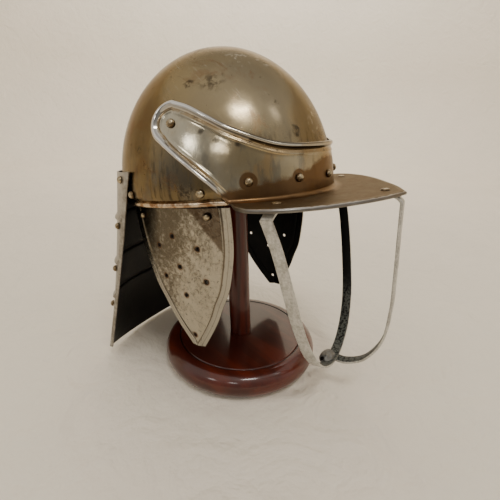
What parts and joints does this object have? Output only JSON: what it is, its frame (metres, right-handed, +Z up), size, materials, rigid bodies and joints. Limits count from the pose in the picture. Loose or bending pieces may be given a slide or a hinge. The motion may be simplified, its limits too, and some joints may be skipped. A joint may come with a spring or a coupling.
{
  "type": "lobster-tail pot helmet on a wooden stand",
  "caption": "Steel lobster-tail pot helmet with a riveted peak, a barred face guard, hanging cheekpieces and an embossed neck guard, set on a turned wooden stand.",
  "frame": {"origin": "centre of the stand base's underside, on the surface that it stands on", "axes": "+Z up; -Y is the way the helmet faces; -X is the wearer's right"},
  "size_m": [0.2224, 0.31, 0.3361],
  "materials": {
    "aged_plated_steel": "satin, tarnished brown-gold",
    "bright_plated_steel": "polished, aged",
    "neck_guard_steel": "grey steel outside, black inside",
    "bar_steel": "matte grey",
    "rivet_metal": "satin, slightly brassy",
    "strap_leather": "dark, matte",
    "stand_wood": "glossy red-brown varnish"
  },
  "bodies": {
    "root": {"cheek_left": "bright_plated_steel", "cheek_right": "bright_plated_steel", "face_guard": "bar_steel", "neck_guard": "neck_guard_steel", "peak": "bright_plated_steel", "rivet_arm_left": "rivet_metal", "rivet_arm_right": "rivet_metal", "rivet_brim_left": "rivet_metal", "rivet_brim_right": "rivet_metal", "rivet_brim_tip": "rivet_metal", "rivet_brow_centre": "rivet_metal", "rivet_brow_left_1": "rivet_metal", "rivet_brow_left_2": "rivet_metal", "rivet_brow_right_1": "rivet_metal", "rivet_brow_right_2": "rivet_metal", "rivet_cheek_left_back": "rivet_metal", "rivet_cheek_left_front": "rivet_metal", "rivet_cheek_right_back": "rivet_metal", "rivet_cheek_right_front": "rivet_metal", "rivet_neck_back": "rivet_metal", "rivet_neck_left_1": "rivet_metal", "rivet_neck_left_2": "rivet_metal", "rivet_neck_left_3": "rivet_metal", "rivet_neck_left_4": "rivet_metal", "rivet_neck_right_1": "rivet_metal", "rivet_neck_right_2": "rivet_metal", "rivet_neck_right_3": "rivet_metal", "rivet_neck_right_4": "rivet_metal", "rivet_rim_left_back": "rivet_metal", "rivet_rim_left_front": "rivet_metal", "rivet_rim_right_back": "rivet_metal", "rivet_rim_right_front": "rivet_metal", "skull": "aged_plated_steel", "stand_base": "stand_wood", "stand_head": "stand_wood", "stand_post": "stand_wood", "strap_left_back": "strap_leather", "strap_left_front": "strap_leather", "strap_right_back": "strap_leather", "strap_right_front": "strap_leather"}
  },
  "joints": []
}
